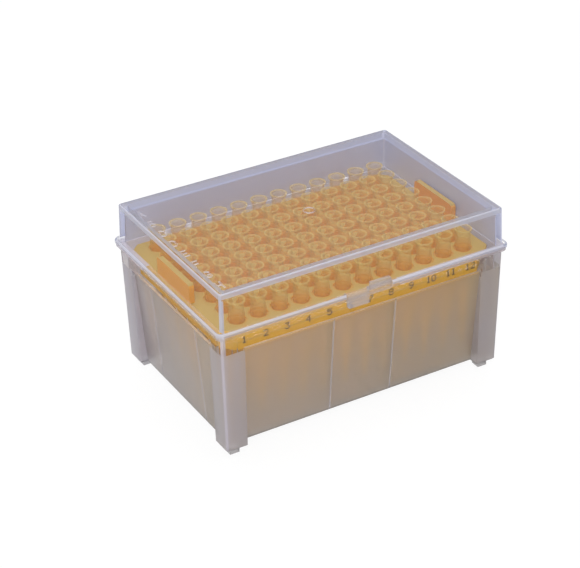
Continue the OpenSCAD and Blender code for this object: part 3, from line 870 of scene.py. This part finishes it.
class TIPBOX_OT_numbers(bpy.types.Operator):
    """Prints a plain number in dots under each column, on the tray's skirt"""
    bl_idname = "tipbox.numbers"
    bl_label = "Column numbers"

    def execute(self, context):
        look = context.scene.tipbox.numbers
        y = TRAY_LOW.y + SKIRT_IN - look.ink / 2
        bm = bmesh.new()
        for index in range(len(COLUMNS)):
            for across, up in dots_of(index + 1):
                x = FIRST_X + index * PITCH + across * look.dot_pitch
                z = TRAY_LOW.z + look.height + up * look.dot_pitch
                spot = Matrix.Translation((x, y, z)) @ Matrix.Rotation(math.pi / 2, 4, "X")
                bmesh.ops.create_cone(bm, cap_ends=True, segments=8, radius1=look.dot_size,
                                      radius2=look.dot_size, depth=look.ink, matrix=spot)
        mesh = bpy.data.meshes.new("column_numbers")
        bm.to_mesh(mesh)
        bm.free()
        add_piece("column_numbers", mesh, "base", dark_ink(look))
        return {"FINISHED"}


# ---------------------------------------------------------------- stage


def seen_as_white(recipe, plain, white):
    """Mixes plain light with white for what looks straight at it or sees it through or in the plastic."""
    path = recipe.node("ShaderNodeLightPath")
    seen = path["Is Camera Ray"] + path["Is Glossy Ray"] + path["Is Transmission Ray"]
    factor = recipe.node("ShaderNodeMath", {"operation": "MINIMUM"}, {0: seen, 1: 1.0})["Value"]
    return recipe.mix(factor, plain, white)


class World(Recipe):
    """The same way of adding nodes, for the world."""

    def __init__(self, world):
        world.use_nodes = True
        self.material = world
        self.tree = world.node_tree
        self.tree.nodes.clear()
        self.output = self.tree.nodes.new("ShaderNodeOutputWorld")


WHITE = (1, 1, 1, 1)
FLOOR_GREY = (0.8, 0.8, 0.8, 1)
FLOOR_HALF = 3.0
LAMPS = (("key_lamp", (-0.5, -0.6, 0.9), 0.6), ("top_lamp", (0.2, 0.3, 1.1), 0.9))      # name, place, size
CLEAR_BOUNCES, LIGHT_BOUNCES = 48, 24                # enough to see through all the walls


class TIPBOX_OT_stage(bpy.types.Operator):
    """Sets up the white floor, the soft lamps and the camera"""
    bl_idname = "tipbox.stage"
    bl_label = "Stage"

    def execute(self, context):
        scene = context.scene
        studio = scene.tipbox.studio
        self.lay_floor(scene, studio)
        self.light_room(scene, studio)
        self.hang_lamps(scene, studio)
        self.set_camera(scene, studio)
        scene.view_settings.view_transform = "Standard"
        scene.cycles.transparent_max_bounces = CLEAR_BOUNCES
        scene.cycles.transmission_bounces = LIGHT_BOUNCES
        scene.cycles.max_bounces = LIGHT_BOUNCES
        return {"FINISHED"}

    def lay_floor(self, scene, studio):
        bm = bmesh.new()
        bmesh.ops.create_grid(bm, x_segments=1, y_segments=1, size=FLOOR_HALF)
        mesh = bpy.data.meshes.new("floor")
        bm.to_mesh(mesh)
        bm.free()
        floor = bpy.data.objects.new("floor", mesh)
        scene.collection.objects.link(floor)
        r = Recipe("white_floor")
        plain = r.node("ShaderNodeBsdfDiffuse", None, {"Color": FLOOR_GREY})["BSDF"]
        glow = r.node("ShaderNodeEmission", None, {"Color": WHITE, "Strength": studio.floor})["Emission"]
        shown = r.mix(1 - studio.shade, plain, glow)
        mesh.materials.append(r.surface(seen_as_white(r, plain, shown)))

    def light_room(self, scene, studio):
        world = bpy.data.worlds.new("room")
        scene.world = world
        w = World(world)
        room = w.node("ShaderNodeBackground", None, {"Color": WHITE, "Strength": studio.room})["Background"]
        white = w.node("ShaderNodeBackground", None, {"Color": WHITE, "Strength": 1.0})["Background"]
        w.surface(seen_as_white(w, room, white))

    def hang_lamps(self, scene, studio):
        for name, place, size in LAMPS:
            lamp = bpy.data.lights.new(name, "AREA")
            lamp.size = size
            lamp.energy = studio.lamp
            holder = bpy.data.objects.new(name, lamp)
            holder.location = place
            holder.rotation_euler = (Vector(studio.aim) - Vector(place)).to_track_quat("-Z", "Y").to_euler()
            scene.collection.objects.link(holder)

    def set_camera(self, scene, studio):
        data = bpy.data.cameras.new("camera")
        data.lens = studio.lens
        data.clip_start = 10 * MM
        camera = bpy.data.objects.new("camera", data)
        turn = (Matrix.Rotation(studio.azimuth, 4, "Z")
                @ Matrix.Rotation(math.pi / 2 - studio.elevation, 4, "X")
                @ Matrix.Rotation(studio.roll, 4, "Z"))
        back = Matrix.Translation((0, 0, studio.distance))
        camera.matrix_world = Matrix.Translation(studio.aim) @ turn @ back
        scene.collection.objects.link(camera)
        scene.camera = camera


class TIPBOX_PT_panel(bpy.types.Panel):
    """Lists the makers of the box's pieces"""
    bl_idname = "TIPBOX_PT_panel"
    bl_label = "Tip Box"
    bl_space_type = "VIEW_3D"
    bl_region_type = "UI"
    bl_category = "Tip Box"

    def draw(self, context):
        for maker in MAKERS:
            self.layout.operator(maker.bl_idname)


MAKERS = (TIPBOX_OT_base, TIPBOX_OT_lid, TIPBOX_OT_tray, TIPBOX_OT_tips, TIPBOX_OT_numbers, TIPBOX_OT_stage)
SETTINGS = (LidLook, BaseLook, TrayLook, TipLook, Edges, Numbers, Studio, TipBoxSettings)
CLASSES = (*SETTINGS, *MAKERS, TIPBOX_PT_panel)


def register():
    for cls in CLASSES:
        bpy.utils.register_class(cls)
    bpy.types.Scene.tipbox = PointerProperty(type=TipBoxSettings)


def unregister():
    del bpy.types.Scene.tipbox
    for cls in reversed(CLASSES):
        bpy.utils.unregister_class(cls)


def main():
    register()
    for maker in MAKERS:
        group, name = maker.bl_idname.split(".")
        getattr(getattr(bpy.ops, group), name)()
    bpy.context.view_layer.update()


if __name__ == "__main__":
    main()
